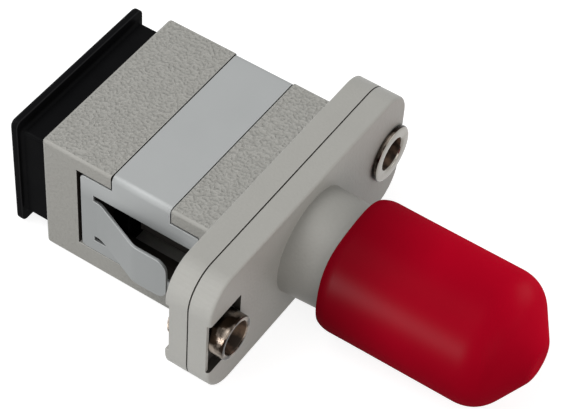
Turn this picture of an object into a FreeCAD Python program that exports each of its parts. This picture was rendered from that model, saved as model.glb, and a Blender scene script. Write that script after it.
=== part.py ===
"""Hybrid fibre adapter: a square push-pull socket at the rear, a round threaded barrel at the front.

Millimetres. X runs along the flange, +Y points to the rear socket, +Z is up.
The origin lies on the fibre axis in the flange's rear face, the face that meets the panel.
"""
import FreeCAD
import Part
import Sketcher
import os
import re

SIZES = [
    ("flange_length", 21.5, "flange, end to end along X"),
    ("flange_height", 9.6, "flange, along Z"),
    ("rear_flange_depth", 1.6, "rear half of the flange, along Y"),
    ("front_flange_depth", 1.6, "front half of the flange, along Y"),
    ("flange_corner_radius", 2.3, "rounding of the flange's four corners"),
    ("flange_edge_radius", 0.2, "rounding of the flange's front edges"),
    ("joint_bevel", 0.05, "bevel of both halves where they meet"),
    ("hole_pitch", 18.0, "between the two fixing holes"),
    ("shell_width", 13.2, "rear shell, along X"),
    ("shell_height", 9.5, "rear shell, along Z"),
    ("shell_length", 12.3, "rear shell, from the flange to its mouth"),
    ("shell_edge_radius", 0.2, "rounding of the shell's long edges"),
    ("mouth_edge_radius", 0.25, "rounding round the shell's mouth"),
    ("plug_width", 9.0, "push-pull plug, along X"),
    ("plug_height", 7.4, "push-pull plug, along Z"),
    ("plug_clearance", 0.08, "round the plug in the shell"),
    ("keyway_width", 3.4, "slot for the plug's key, along X"),
    ("keyway_length", 4.5, "slot for the plug's key, from the mouth inwards"),
    ("sheet_thickness", 0.22, "sheet of the clip"),
    ("bend_radius", 0.42, "outside of the clip's bends"),
    ("strap_front", 2.7, "front edge of the strap, behind the flange"),
    ("strap_width", 4.3, "strap, along Y"),
    ("clip_gap", 0.07, "round the clip in its recess"),
    ("plate_play", 0.18, "above the clip's side plates in their recess"),
    ("groove_width", 0.28, "groove behind the clip's side plates, along Y"),
    ("groove_depth", 0.9, "that groove, inwards from the shell's side"),
    ("spring_room", 1.0, "room beside the plug for a latch arm to spread, along X"),
    ("room_margin", 0.5, "that room, above and below the shell's window"),
    ("plate_front", 0.65, "front ends of the clip's arms, behind the flange"),
    ("plate_rear", 9.4, "rear edge of the side plates, behind the flange"),
    ("plate_top", 3.5, "upper edge of the side plates, above the axis"),
    ("plate_bottom", 3.0, "lower edge of the side plates, below the axis"),
    ("plate_corner_radius", 0.3, "corners of the side plates"),
    ("tongue_width", 3.25, "tongue, along Z"),
    ("plate_frame", 0.95, "side plate behind the tongue's root, along Y"),
    ("tongue_flat", 0.5, "tongue, from its root to where it turns outwards"),
    ("tongue_tip", 1.9, "free end of the tongue, behind the flange"),
    ("tongue_level", 2.5, "free end of the tongue that runs along the shell again"),
    ("tongue_spread", 1.5, "free end of the tongue, outwards from the shell"),
    ("tongue_bend_radius", 1.6, "hollow side of the tongue's two bends"),
    ("tongue_corner_radius", 0.8, "corners of the tongue's free end"),
    ("upper_slot", 0.55, "between the tongue and the upper arm"),
    ("lower_slot", 0.42, "between the tongue and the lower arm"),
    ("latch_width", 11.2, "base of the latch piece, along X"),
    ("latch_height", 8.0, "base of the latch piece, along Z"),
    ("latch_depth", 1.4, "base of the latch piece, along Y"),
    ("latch_clearance", 0.1, "round the base of the latch piece"),
    ("arm_thickness", 0.75, "latch arm, along X"),
    ("arm_height", 3.0, "latch arm, along Z"),
    ("arm_reach", 6.6, "latch arm, from its base to its end"),
    ("hook_depth", 0.45, "hook, inwards from its arm"),
    ("hook_length", 1.3, "hook, along Y"),
    ("hook_land", 0.4, "flat of the hook, along Y"),
    ("ferrule_diameter", 2.5, "ferrule that the sleeve takes"),
    ("sleeve_wall", 0.35, "alignment sleeve"),
    ("sleeve_length", 11.4, "alignment sleeve"),
    ("sleeve_slit", 0.35, "slit along the sleeve"),
    ("sleeve_clearance", 0.1, "round the sleeve in its tubes"),
    ("sleeve_play", 0.15, "beyond the rear end of the sleeve"),
    ("tube_wall", 0.65, "tubes that hold the sleeve"),
    ("tube_lip", 0.5, "end walls of those tubes"),
    ("lip_clearance", 0.17, "round the ferrule in the end walls"),
    ("retainer_reach", 5.9, "front sleeve tube, from the joint to its seat for the sleeve"),
    ("retainer_diameter", 7.4, "round flange of the front sleeve tube"),
    ("retainer_depth", 0.9, "round flange of the front sleeve tube, along Y"),
    ("retainer_clearance", 0.05, "round that flange and its tube"),
    ("web_depth", 0.9, "wall that the round flange bears on"),
    ("barrel_diameter", 7.8, "threaded part of the barrel, over its crests"),
    ("barrel_root_step", 0.22, "plain part of the barrel, below the thread's crests"),
    ("barrel_root_length", 3.5, "plain part of the barrel, from the flange"),
    ("barrel_length", 10.0, "barrel, from the flange to its end"),
    ("barrel_bore", 6.1, "inside of the barrel"),
    ("barrel_bevel", 0.3, "end of the barrel"),
    ("key_slot_width", 2.1, "slot for the front connector's key"),
    ("key_slot_length", 3.0, "slot for the front connector's key, from the barrel's end"),
    ("rivet_shank", 3.0, "hollow rivet, outside"),
    ("rivet_bore", 2.3, "hollow rivet, inside"),
    ("rivet_head", 4.0, "far rivet's head"),
    ("rivet_head_depth", 0.4, "far rivet's head, along its axis"),
    ("rivet_rim", 3.4, "near rivet's smaller head"),
    ("rivet_rim_depth", 0.2, "near rivet's smaller head, along its axis"),
    ("rivet_head_bevel", 0.12, "bevel of the heads' edges"),
    ("rivet_tail", 0.7, "tail of the near rivet, in front of the flange"),
    ("rivet_clearance", 0.05, "round the rivet in the flange"),
    ("seat_depth", 0.6, "front pocket round the near rivet's tail, into the flange"),
    ("seat_width", 4.4, "front pocket, along Z"),
    ("seat_reach", 1.4, "front pocket, inwards from that rivet's axis"),
    ("recess_depth", 0.25, "shallow recesses from the rivets' holes to the flange's ends"),
    ("head_clearance", 0.12, "round a rivet's head in its recess"),
    ("rim_step", 0.4, "rim of the dust plug, beyond its collar on each side along X"),
    ("rim_rise", 0.85, "rim of the dust plug, beyond its collar above and below"),
    ("rim_thickness", 0.55, "rim of the dust plug, along Y"),
    ("rim_corner_radius", 0.5, "corners of the rim"),
    ("rim_edge_bevel", 0.12, "bevel round the rim's rear face"),
    ("collar_width", 12.1, "dust plug between its rim and the mouth, along X"),
    ("collar_length", 2.05, "dust plug between its rim and the mouth, along Y"),
    ("collar_edge_radius", 0.25, "long edges of that part"),
    ("collar_fillet", 0.25, "between that part and the rim"),
    ("stem_gap", 0.9, "between the dust plug and the latch arms"),
    ("stem_wall", 0.8, "walls of the dust plug"),
    ("cap_gap", 3.0, "between the flange and the mouth of the dust cap"),
    ("cap_mouth_wall", 0.47, "dust cap round the barrel"),
    ("cap_length", 13.2, "dust cap, from its mouth to its tip"),
    ("cap_clearance", 0.08, "round the barrel in the cap"),
    ("cap_wall", 0.9, "dust cap past the barrel's end, wall and tip"),
    ("cap_taper_length", 2.15, "tapered end of the dust cap"),
    ("cap_tip_diameter", 2.4, "flat tip of the dust cap"),
    ("cap_shoulder_radius", 2.6, "rounding where the taper starts"),
    ("cap_tip_radius", 1.5, "rounding of the tip"),
    ("cap_lip_bevel", 0.18, "bevel of the cap's mouth"),
]

ORIGIN, START, END, CENTRE = -1, 1, 2, 3
TOLERANCE = 1e-4
FULL_TURN = 360
AGAINST_NORMAL = True

doc = FreeCAD.newDocument("hybrid_fibre_adapter")
sheet = doc.addObject("Spreadsheet::Sheet", "Sizes")
for row, (alias, number, meaning) in enumerate(SIZES, 1):
    sheet.set(f"A{row}", alias)
    sheet.set(f"B{row}", str(number))
    sheet.set(f"C{row}", meaning)
    sheet.setAlias(f"B{row}", alias)
doc.recompute()


def bound(text):
    """Turn a formula of size names into one that other objects can be bound to."""
    return re.sub(r"[a-z][a-z_]+", lambda word: "Sizes." + word.group(), text)


def value(text):
    """Work out a formula of size names."""
    return float(sheet.evalExpression(text))


def new_body(label):
    """Start the solid of one sub-part."""
    body = doc.addObject("PartDesign::Body", label)
    body.Label = label
    return body


def new_sketch(body, plane, name, along="0", across="0"):
    """Start a sketch on one of the body's own planes, moved along its normal and across it."""
    sketch = body.newObject("Sketcher::SketchObject", name)
    planes = {feature.Role: feature for feature in body.Origin.OriginFeatures}
    sketch.AttachmentSupport = (planes[plane], [""])
    sketch.MapMode = "FlatFace"
    sketch.setExpression("AttachmentOffset.Base.z", bound(along))
    sketch.setExpression("AttachmentOffset.Base.x", bound(across))
    return sketch


def hold(sketch, kind, geometry, point, place):
    """Tie one coordinate of a point of the sketch to a formula."""
    rule = Sketcher.Constraint(kind, ORIGIN, START, geometry, point, value(place))
    index = sketch.addConstraint(rule)
    sketch.renameConstraint(index, f"{kind}{index}")
    sketch.setExpression(f"Constraints.{kind}{index}", bound(place))


def outline(sketch, corners):
    """Draw a closed outline of straight sides, each corner tied to two formulas."""
    first = sketch.GeometryCount
    points = [FreeCAD.Vector(value(across), value(up), 0) for across, up in corners]
    for number, point in enumerate(points):
        following = points[(number + 1) % len(points)]
        sketch.addGeometry(Part.LineSegment(point, following))
    for number, (across, up) in enumerate(corners):
        line = first + number
        following = first + (number + 1) % len(corners)
        sketch.addConstraint(Sketcher.Constraint("Coincident", line, END, following, START))
        hold(sketch, "DistanceX", line, START, across)
        hold(sketch, "DistanceY", line, START, up)


def rectangle(sketch, left, right, low, high):
    """Draw an upright rectangle between four formulas."""
    outline(sketch, [(left, low), (right, low), (right, high), (left, high)])


def centred_rectangle(sketch, width, height):
    """Draw a rectangle about the axis."""
    rectangle(sketch, f"-({width})/2", f"({width})/2", f"-({height})/2", f"({height})/2")


def circle(sketch, across, diameter):
    """Draw a circle on the sketch's horizontal axis."""
    centre = FreeCAD.Vector(value(across), 0, 0)
    radius = f"({diameter})/2"
    geometry = sketch.addGeometry(Part.Circle(centre, FreeCAD.Vector(0, 0, 1), value(radius)))
    hold(sketch, "DistanceX", geometry, CENTRE, across)
    hold(sketch, "DistanceY", geometry, CENTRE, "0")
    index = sketch.addConstraint(Sketcher.Constraint("Radius", geometry, value(radius)))
    sketch.renameConstraint(index, f"Radius{index}")
    sketch.setExpression(f"Constraints.Radius{index}", bound(radius))


def pad(body, sketch, name, length, reverse=False):
    """Raise a sketch by a length, along its normal or against it."""
    feature = body.newObject("PartDesign::Pad", name)
    feature.Profile = sketch
    feature.Reversed = reverse
    feature.setExpression("Length", bound(length))
    body.Tip = feature


def pocket(body, sketch, name, length, reverse=False):
    """Cut a sketch into the body by a length, against its normal or along it."""
    doc.recompute()
    before = body.Shape.Volume
    feature = body.newObject("PartDesign::Pocket", name)
    feature.Profile = sketch
    feature.Reversed = reverse
    feature.setExpression("Length", bound(length))
    body.Tip = feature
    doc.recompute()
    if body.Shape.Volume > before - TOLERANCE:
        raise RuntimeError(f"{body.Label}: {name} cuts nothing")


def revolve(body, sketch, name):
    """Turn a sketch about its own vertical axis."""
    feature = body.newObject("PartDesign::Revolution", name)
    feature.Profile = sketch
    feature.ReferenceAxis = (sketch, ["V_Axis"])
    feature.Angle = FULL_TURN
    body.Tip = feature


def chosen_edges(shape, test):
    """Name the edges whose start, middle and end all pass a test."""
    names = []
    for number, edge in enumerate(shape.Edges, 1):
        first, last = edge.ParameterRange
        probes = [edge.valueAt(at) for at in (first, (first + last) / 2, last)]
        if all(test(point) for point in probes):
            names.append(f"Edge{number}")
    return names


def dress(body, kind, name, amount, test):
    """Round or bevel the chosen edges of the body."""
    doc.recompute()
    base = body.Tip
    names = chosen_edges(base.Shape, test)
    if not names:
        raise RuntimeError(f"{body.Label}: {name} finds no edge")
    feature = body.newObject("PartDesign::" + kind, name)
    feature.Base = (base, names)
    feature.setExpression("Radius" if kind == "Fillet" else "Size", bound(amount))
    body.Tip = feature
    doc.recompute()


def near(number, formula):
    """Tell whether a coordinate has the value of a formula."""
    return abs(number - value(formula)) < TOLERANCE


def flange_half(body, rear_face, depth):
    """Make one half of the flange, bevelled round the joint between the two halves."""
    sketch = new_sketch(body, "XZ_Plane", "FlangeOutline", rear_face)
    centred_rectangle(sketch, "flange_length", "flange_height")
    pad(body, sketch, "Flange", depth)
    dress(body, "Fillet", "FlangeCorners", "flange_corner_radius",
          lambda p: near(abs(p.x), "flange_length/2") and near(abs(p.z), "flange_height/2"))
    dress(body, "Chamfer", "JointBevel", "joint_bevel", lambda p: near(p.y, "-rear_flange_depth"))


def rivet_holes(body, plane, depth):
    """Bore both ends of a flange half for the rivets."""
    sketch = new_sketch(body, "XZ_Plane", "RivetCircles", plane)
    for side in ("-", ""):
        circle(sketch, side + "hole_pitch/2", "rivet_shank + 2*rivet_clearance")
    pocket(body, sketch, "RivetHoles", depth)


# The rear moulding: a square shell with the rear half of the flange.
PLATE_OPENING_TOP = "tongue_width/2 + upper_slot"
PLATE_OPENING_BOTTOM = "-tongue_width/2 - lower_slot"
STRAP_REAR = "strap_front + strap_width"
TONGUE_ROOT = "plate_rear - plate_frame"
TONGUE_BEND = TONGUE_ROOT + " - tongue_flat"
TONGUE_LEVEL = "tongue_tip + tongue_level"


def rear_housing():
    body = new_body("rear_housing")
    shell = new_sketch(body, "XZ_Plane", "ShellOutline")
    centred_rectangle(shell, "shell_width", "shell_height")
    pad(body, shell, "Shell", "shell_length", AGAINST_NORMAL)
    dress(body, "Fillet", "ShellEdges", "shell_edge_radius",
          lambda p: near(abs(p.x), "shell_width/2") and near(abs(p.z), "shell_height/2"))
    dress(body, "Fillet", "MouthEdges", "mouth_edge_radius", lambda p: near(p.y, "shell_length"))
    flange_half(body, "0", "rear_flange_depth")
    rivet_holes(body, "rear_flange_depth", "rear_flange_depth")

    way = new_sketch(body, "XZ_Plane", "PlugWayOutline", "rear_flange_depth")
    centred_rectangle(way, "plug_width + 2*plug_clearance", "plug_height + 2*plug_clearance")
    pocket(body, way, "PlugWay", "shell_length + 2*rear_flange_depth")

    seat = new_sketch(body, "XZ_Plane", "LatchSeatOutline", "rear_flange_depth")
    centred_rectangle(seat, "latch_width + 2*latch_clearance", "latch_height + 2*latch_clearance")
    pocket(body, seat, "LatchSeat", "latch_depth")

    keyway = new_sketch(body, "XY_Plane", "KeywayOutline", "-plug_height/2")
    rectangle(keyway, "-keyway_width/2", "keyway_width/2",
              "shell_length - keyway_length", "shell_length + keyway_length")
    pocket(body, keyway, "Keyway", "shell_height")

    strap = new_sketch(body, "XY_Plane", "StrapRecessOutline", "shell_height/2 - sheet_thickness")
    rectangle(strap, "-shell_width", "shell_width", "strap_front - clip_gap", STRAP_REAR + " + clip_gap")
    pocket(body, strap, "StrapRecess", "shell_height", AGAINST_NORMAL)

    for side, name, outwards in (("", "Far", AGAINST_NORMAL), ("-", "Near", not AGAINST_NORMAL)):
        floor = side + "(shell_width/2 - sheet_thickness)"
        plate = new_sketch(body, "YZ_Plane", name + "PlateRecessOutline", floor)
        outline(plate, [
            ("plate_front - clip_gap", "-plate_bottom - clip_gap"),
            ("plate_rear", "-plate_bottom - clip_gap"),
            ("plate_rear", "plate_top + plate_play"),
            (STRAP_REAR + " + clip_gap", "plate_top + plate_play"),
            (STRAP_REAR + " + clip_gap", "shell_height"),
            ("strap_front - clip_gap", "shell_height"),
            ("strap_front - clip_gap", "plate_top + plate_play"),
            ("plate_front - clip_gap", "plate_top + plate_play"),
        ])
        pocket(body, plate, name + "PlateRecess", "shell_width", outwards)
        groove = new_sketch(body, "YZ_Plane", name + "GrooveOutline", side + "(shell_width/2 - groove_depth)")
        rectangle(groove, "plate_rear", "plate_rear + groove_width",
                  "-plate_bottom - clip_gap", "plate_top + plate_play")
        pocket(body, groove, name + "Groove", "shell_width", outwards)
        window = new_sketch(body, "YZ_Plane", name + "WindowOutline", side + "plug_width/2")
        rectangle(window, "plate_front - clip_gap", TONGUE_ROOT, PLATE_OPENING_BOTTOM, PLATE_OPENING_TOP)
        pocket(body, window, name + "Window", "shell_width", outwards)
        room = new_sketch(body, "YZ_Plane", name + "SpringRoomOutline", side + "plug_width/2")
        rectangle(room, "plate_front - clip_gap", TONGUE_ROOT,
                  PLATE_OPENING_BOTTOM + " - room_margin", PLATE_OPENING_TOP + " + room_margin")
        pocket(body, room, name + "SpringRoom", "plug_clearance + spring_room", outwards)
    dress(body, "Fillet", "StrapBends", "bend_radius - sheet_thickness",
          lambda p: near(abs(p.x), "shell_width/2 - sheet_thickness")
          and near(p.z, "shell_height/2 - sheet_thickness"))

    seats = new_sketch(body, "XZ_Plane", "RivetSeatOutlines", "recess_depth")
    for inner, outer in (("hole_pitch/2 - rivet_head/2 - head_clearance", "flange_length"),
                         ("-flange_length", "-hole_pitch/2 + rivet_head/2 + head_clearance")):
        rectangle(seats, inner, outer, "-rivet_head/2 - head_clearance", "rivet_head/2 + head_clearance")
    pocket(body, seats, "RivetSeats", "2*recess_depth")
    return body


# The front moulding: the front half of the flange with the connector barrel.
FLANGE_FRONT = "rear_flange_depth + front_flange_depth"
BARREL_END = FLANGE_FRONT + " + barrel_length"
WEB_FRONT = "rear_flange_depth + retainer_depth + web_depth"
SLEEVE_TUBE = "ferrule_diameter + 2*(sleeve_wall + sleeve_clearance + tube_wall)"


def front_housing():
    body = new_body("front_housing")
    flange_half(body, "rear_flange_depth", "front_flange_depth")
    dress(body, "Fillet", "FrontEdges", "flange_edge_radius", lambda p: near(p.y, f"-({FLANGE_FRONT})"))
    rivet_holes(body, FLANGE_FRONT, "front_flange_depth")

    hole_end = "-(hole_pitch + rivet_shank)/2"
    tail = new_sketch(body, "XZ_Plane", "TailPocketOutline", FLANGE_FRONT)
    rectangle(tail, hole_end, "-hole_pitch/2 + seat_reach", "-seat_width/2", "seat_width/2")
    pocket(body, tail, "TailPocket", "seat_depth")
    notch = new_sketch(body, "XZ_Plane", "EndNotchOutline", FLANGE_FRONT)
    rectangle(notch, "-flange_length", hole_end, "-seat_width/2", "seat_width/2")
    pocket(body, notch, "EndNotch", "recess_depth")

    root = new_sketch(body, "XZ_Plane", "BarrelRootCircle", FLANGE_FRONT)
    circle(root, "0", "barrel_diameter - 2*barrel_root_step")
    pad(body, root, "BarrelRoot", "barrel_root_length")
    thread = new_sketch(body, "XZ_Plane", "BarrelCircle", FLANGE_FRONT + " + barrel_root_length")
    circle(thread, "0", "barrel_diameter")
    pad(body, thread, "Barrel", "barrel_length - barrel_root_length")
    dress(body, "Chamfer", "BarrelBevel", "barrel_bevel", lambda p: near(p.y, f"-({BARREL_END})"))

    bore = new_sketch(body, "XZ_Plane", "BarrelBoreCircle", BARREL_END)
    circle(bore, "0", "barrel_bore")
    pocket(body, bore, "BarrelBore", f"{BARREL_END} - ({WEB_FRONT})")
    tube = new_sketch(body, "XZ_Plane", "TubeHoleCircle", BARREL_END)
    circle(tube, "0", f"{SLEEVE_TUBE} + 2*retainer_clearance")
    pocket(body, tube, "TubeHole", BARREL_END)
    seat = new_sketch(body, "XZ_Plane", "RetainerSeatCircle", "rear_flange_depth")
    circle(seat, "0", "retainer_diameter + 2*retainer_clearance")
    pocket(body, seat, "RetainerSeat", "retainer_depth", AGAINST_NORMAL)

    slot = new_sketch(body, "XY_Plane", "KeySlotOutline")
    rectangle(slot, "-key_slot_width/2", "key_slot_width/2",
              f"-({BARREL_END}) - key_slot_length", f"-({BARREL_END}) + key_slot_length")
    pocket(body, slot, "KeySlot", "barrel_diameter")
    return body


# The inner moulding of the rear socket: a base, two hooked arms and the rear sleeve tube.
LATCH_FACE = "rear_flange_depth - latch_depth"
SLEEVE_FRONT = "rear_flange_depth + retainer_reach"
REAR_LIP = f"sleeve_length - ({SLEEVE_FRONT}) + sleeve_play"
SLEEVE_HOLE = "ferrule_diameter + 2*(sleeve_wall + sleeve_clearance)"
LIP_HOLE = "ferrule_diameter + 2*lip_clearance"
ARM_END = f"arm_reach - ({LATCH_FACE})"


def latch_holder():
    body = new_body("latch_holder")
    base = new_sketch(body, "XZ_Plane", "BaseOutline", LATCH_FACE)
    centred_rectangle(base, "latch_width", "latch_height")
    pad(body, base, "Base", "latch_depth")
    tube = new_sketch(body, "XZ_Plane", "TubeCircle", LATCH_FACE)
    circle(tube, "0", SLEEVE_TUBE)
    pad(body, tube, "Tube", f"{REAR_LIP} + tube_lip + {LATCH_FACE}", AGAINST_NORMAL)

    for side, name in (("", "Far"), ("-", "Near")):
        inner = side + "(plug_width/2 - arm_thickness)"
        outer = side + "plug_width/2"
        arm = new_sketch(body, "XY_Plane", name + "ArmOutline", "-arm_height/2")
        outline(arm, [
            (outer, f"-({LATCH_FACE})"),
            (outer, ARM_END),
            (inner, ARM_END),
            (side + "(plug_width/2 - arm_thickness - hook_depth)", f"{ARM_END} - hook_length + 2*hook_land"),
            (side + "(plug_width/2 - arm_thickness - hook_depth)", f"{ARM_END} - hook_length + hook_land"),
            (inner, f"{ARM_END} - hook_length"),
            (inner, f"-({LATCH_FACE})"),
        ])
        pad(body, arm, name + "Arm", "arm_height")

    hole = new_sketch(body, "XZ_Plane", "SleeveCircle", "rear_flange_depth")
    circle(hole, "0", SLEEVE_HOLE)
    pocket(body, hole, "SleeveHole", f"{REAR_LIP} + rear_flange_depth")
    lip = new_sketch(body, "XZ_Plane", "LipCircle", "rear_flange_depth")
    circle(lip, "0", LIP_HOLE)
    pocket(body, lip, "LipHole", "rear_flange_depth + sleeve_length")
    return body


# The front sleeve tube, trapped by its round flange between the two mouldings.
def sleeve_retainer():
    body = new_body("sleeve_retainer")
    profile = new_sketch(body, "XY_Plane", "Profile")
    seat = f"-({SLEEVE_FRONT})"
    outline(profile, [
        (f"({SLEEVE_HOLE})/2", "-rear_flange_depth"),
        ("retainer_diameter/2", "-rear_flange_depth"),
        ("retainer_diameter/2", "-rear_flange_depth - retainer_depth"),
        (f"({SLEEVE_TUBE})/2", "-rear_flange_depth - retainer_depth"),
        (f"({SLEEVE_TUBE})/2", f"{seat} - tube_lip"),
        (f"({LIP_HOLE})/2", f"{seat} - tube_lip"),
        (f"({LIP_HOLE})/2", seat),
        (f"({SLEEVE_HOLE})/2", seat),
    ])
    revolve(body, profile, "Tube")
    return body


# The split sleeve that lines up the two ferrules.
def alignment_sleeve():
    body = new_body("alignment_sleeve")
    wall = new_sketch(body, "XZ_Plane", "WallCircles", f"{SLEEVE_FRONT} - sleeve_length")
    circle(wall, "0", "ferrule_diameter + 2*sleeve_wall")
    circle(wall, "0", "ferrule_diameter")
    pad(body, wall, "Wall", "sleeve_length")
    slit = new_sketch(body, "XZ_Plane", "SlitOutline", SLEEVE_FRONT)
    rectangle(slit, "-sleeve_slit/2", "sleeve_slit/2", "-ferrule_diameter", "0")
    pocket(body, slit, "Slit", "sleeve_length")
    return body


# The clip: one folded sheet with a strap over the shell, and on each side a framed plate with its tongue.
def panel_clip():
    body = new_body("panel_clip")
    half, inner = "shell_width/2", "(shell_width/2 - sheet_thickness)"
    strap = new_sketch(body, "XZ_Plane", "StrapOutline", f"-({STRAP_REAR})")
    outline(strap, [
        ("-" + half, PLATE_OPENING_TOP),
        ("-" + half, "shell_height/2"),
        (half, "shell_height/2"),
        (half, PLATE_OPENING_TOP),
        (inner, PLATE_OPENING_TOP),
        (inner, "shell_height/2 - sheet_thickness"),
        ("-" + inner, "shell_height/2 - sheet_thickness"),
        ("-" + inner, PLATE_OPENING_TOP),
    ])
    pad(body, strap, "Strap", "strap_width")
    dress(body, "Fillet", "OuterBends", "bend_radius",
          lambda p: near(abs(p.x), half) and near(p.z, "shell_height/2"))
    dress(body, "Fillet", "InnerBends", "bend_radius - sheet_thickness",
          lambda p: near(abs(p.x), inner) and near(p.z, "shell_height/2 - sheet_thickness"))

    for side, name, plate_face in (("", "Far", inner), ("-", "Near", "-" + half)):
        plate = new_sketch(body, "YZ_Plane", name + "PlateOutline", plate_face)
        outline(plate, [
            ("plate_front", "plate_top"),
            ("plate_front", PLATE_OPENING_TOP),
            (TONGUE_ROOT, PLATE_OPENING_TOP),
            (TONGUE_ROOT, PLATE_OPENING_BOTTOM),
            ("plate_front", PLATE_OPENING_BOTTOM),
            ("plate_front", "-plate_bottom"),
            ("plate_rear", "-plate_bottom"),
            ("plate_rear", "plate_top"),
        ])
        pad(body, plate, name + "Plate", "sheet_thickness")
        tongue = new_sketch(body, "XY_Plane", name + "TongueOutline", "-tongue_width/2")
        outline(tongue, [
            (side + half, TONGUE_ROOT),
            (side + half, TONGUE_BEND),
            (f"{side}({half} + tongue_spread)", TONGUE_LEVEL),
            (f"{side}({half} + tongue_spread)", "tongue_tip"),
            (f"{side}({half} + tongue_spread - sheet_thickness)", "tongue_tip"),
            (f"{side}({half} + tongue_spread - sheet_thickness)", TONGUE_LEVEL),
            (side + inner, TONGUE_BEND),
            (side + inner, TONGUE_ROOT),
        ])
        pad(body, tongue, name + "Tongue", "tongue_width")
    dress(body, "Fillet", "PlateCorners", "plate_corner_radius",
          lambda p: near(p.y, "plate_rear") and (near(p.z, "plate_top") or near(p.z, "-plate_bottom")))
    dress(body, "Fillet", "TongueHollows", "tongue_bend_radius",
          lambda p: near(p.y, TONGUE_BEND) and near(abs(p.x), half)
          or near(p.y, TONGUE_LEVEL) and near(abs(p.x), half + " + tongue_spread - sheet_thickness"))
    dress(body, "Fillet", "TongueBacks", "tongue_bend_radius + sheet_thickness",
          lambda p: near(p.y, TONGUE_BEND) and near(abs(p.x), inner)
          or near(p.y, TONGUE_LEVEL) and near(abs(p.x), half + " + tongue_spread"))
    dress(body, "Fillet", "TongueCorners", "tongue_corner_radius",
          lambda p: near(p.y, "tongue_tip") and near(abs(p.z), "tongue_width/2"))
    return body


# A hollow rivet: a tube with a rounded head, turned about one of the fixing holes.
def hollow_rivet(label, axis, head, head_seat, head_face, tail_end):
    body = new_body(label)
    profile = new_sketch(body, "XY_Plane", "Profile", "0", axis)
    outline(profile, [
        ("rivet_bore/2", head_face),
        (head + "/2", head_face),
        (head + "/2", head_seat),
        ("rivet_shank/2", head_seat),
        ("rivet_shank/2", tail_end),
        ("rivet_bore/2", tail_end),
    ])
    revolve(body, profile, "Rivet")
    dress(body, "Chamfer", "HeadEdges", "rivet_head_bevel", lambda p: near(p.y, head_face))
    return body


# The black dust plug: a hollow stem in the socket, a collar against the mouth and a thin rim.
def sc_dust_plug():
    body = new_body("sc_dust_plug")
    rim_face = "shell_length + collar_length"
    rim_width, rim_height = "collar_width + 2*rim_step", "plug_height + 2*rim_rise"
    stem_length = f"shell_length - ({ARM_END}) - stem_gap"
    rim = new_sketch(body, "XZ_Plane", "RimOutline", f"-({rim_face})")
    centred_rectangle(rim, rim_width, rim_height)
    pad(body, rim, "Rim", "rim_thickness", AGAINST_NORMAL)
    dress(body, "Fillet", "RimCorners", "rim_corner_radius",
          lambda p: near(abs(p.x), f"({rim_width})/2") and near(abs(p.z), f"({rim_height})/2"))
    dress(body, "Chamfer", "RimEdges", "rim_edge_bevel", lambda p: near(p.y, rim_face + " + rim_thickness"))

    collar = new_sketch(body, "XZ_Plane", "CollarOutline", "-shell_length")
    centred_rectangle(collar, "collar_width", "plug_height")
    pad(body, collar, "Collar", "collar_length", AGAINST_NORMAL)
    dress(body, "Fillet", "CollarEdges", "collar_edge_radius",
          lambda p: near(abs(p.x), "collar_width/2") and near(abs(p.z), "plug_height/2"))
    dress(body, "Fillet", "CollarFillet", "collar_fillet",
          lambda p: near(p.y, rim_face) and abs(p.x) < value("collar_width/2") + TOLERANCE
          and abs(p.z) < value("plug_height/2") + TOLERANCE)

    stem = new_sketch(body, "XZ_Plane", "StemOutline", "-shell_length")
    centred_rectangle(stem, "plug_width", "plug_height")
    pad(body, stem, "Stem", stem_length)
    hollow = new_sketch(body, "XZ_Plane", "HollowOutline", f"-({ARM_END}) - stem_gap")
    centred_rectangle(hollow, "plug_width - 2*stem_wall", "plug_height - 2*stem_wall")
    pocket(body, hollow, "Hollow", f"{stem_length} + collar_length + rim_thickness - stem_wall")
    return body


# The red dust cap: a soft tube with a rounded shoulder and a short tapered end.
def barrel_dust_cap():
    body = new_body("barrel_dust_cap")
    inside = "barrel_diameter/2 + cap_clearance"
    outside = inside + " + cap_mouth_wall"
    mouth = f"-({FLANGE_FRONT}) - cap_gap"
    tip = f"{mouth} - cap_length"
    shoulder = f"{tip} + cap_taper_length"
    barrel_end = f"-({BARREL_END})"
    profile = new_sketch(body, "XY_Plane", "Profile")
    outline(profile, [
        (inside, mouth),
        (outside, mouth),
        (outside, shoulder),
        ("cap_tip_diameter/2", tip),
        ("0", tip),
        ("0", f"{tip} + cap_wall"),
        ("cap_tip_diameter/2 - cap_wall/2", f"{tip} + cap_wall"),
        (outside + " - cap_wall", shoulder + " + cap_wall/2"),
        (outside + " - cap_wall", barrel_end),
        (inside, barrel_end),
    ])
    revolve(body, profile, "Cap")
    dress(body, "Fillet", "Shoulder", "cap_shoulder_radius",
          lambda p: near(p.y, shoulder) and near((p.x**2 + p.z**2)**0.5, outside))
    dress(body, "Fillet", "Tip", "cap_tip_radius",
          lambda p: near(p.y, tip) and near((p.x**2 + p.z**2)**0.5, "cap_tip_diameter/2"))
    dress(body, "Chamfer", "Lip", "cap_lip_bevel", lambda p: near(p.y, mouth))
    return body


REAR_SEAT = "-recess_depth"
REAR_FACE = REAR_SEAT + " + rivet_rim_depth"
FRONT_SEAT = f"-({FLANGE_FRONT})"
FRONT_FACE = FRONT_SEAT + " - rivet_head_depth"
NEAR_TAIL = FRONT_SEAT + " - rivet_tail"
parts = [
    rear_housing(),
    front_housing(),
    latch_holder(),
    sleeve_retainer(),
    alignment_sleeve(),
    panel_clip(),
    hollow_rivet("rivet_near", "-hole_pitch/2", "rivet_rim", REAR_SEAT, REAR_FACE, NEAR_TAIL),
    hollow_rivet("rivet_far", "hole_pitch/2", "rivet_head", FRONT_SEAT, FRONT_FACE, REAR_FACE),
    sc_dust_plug(),
    barrel_dust_cap(),
]
doc.recompute()

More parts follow.
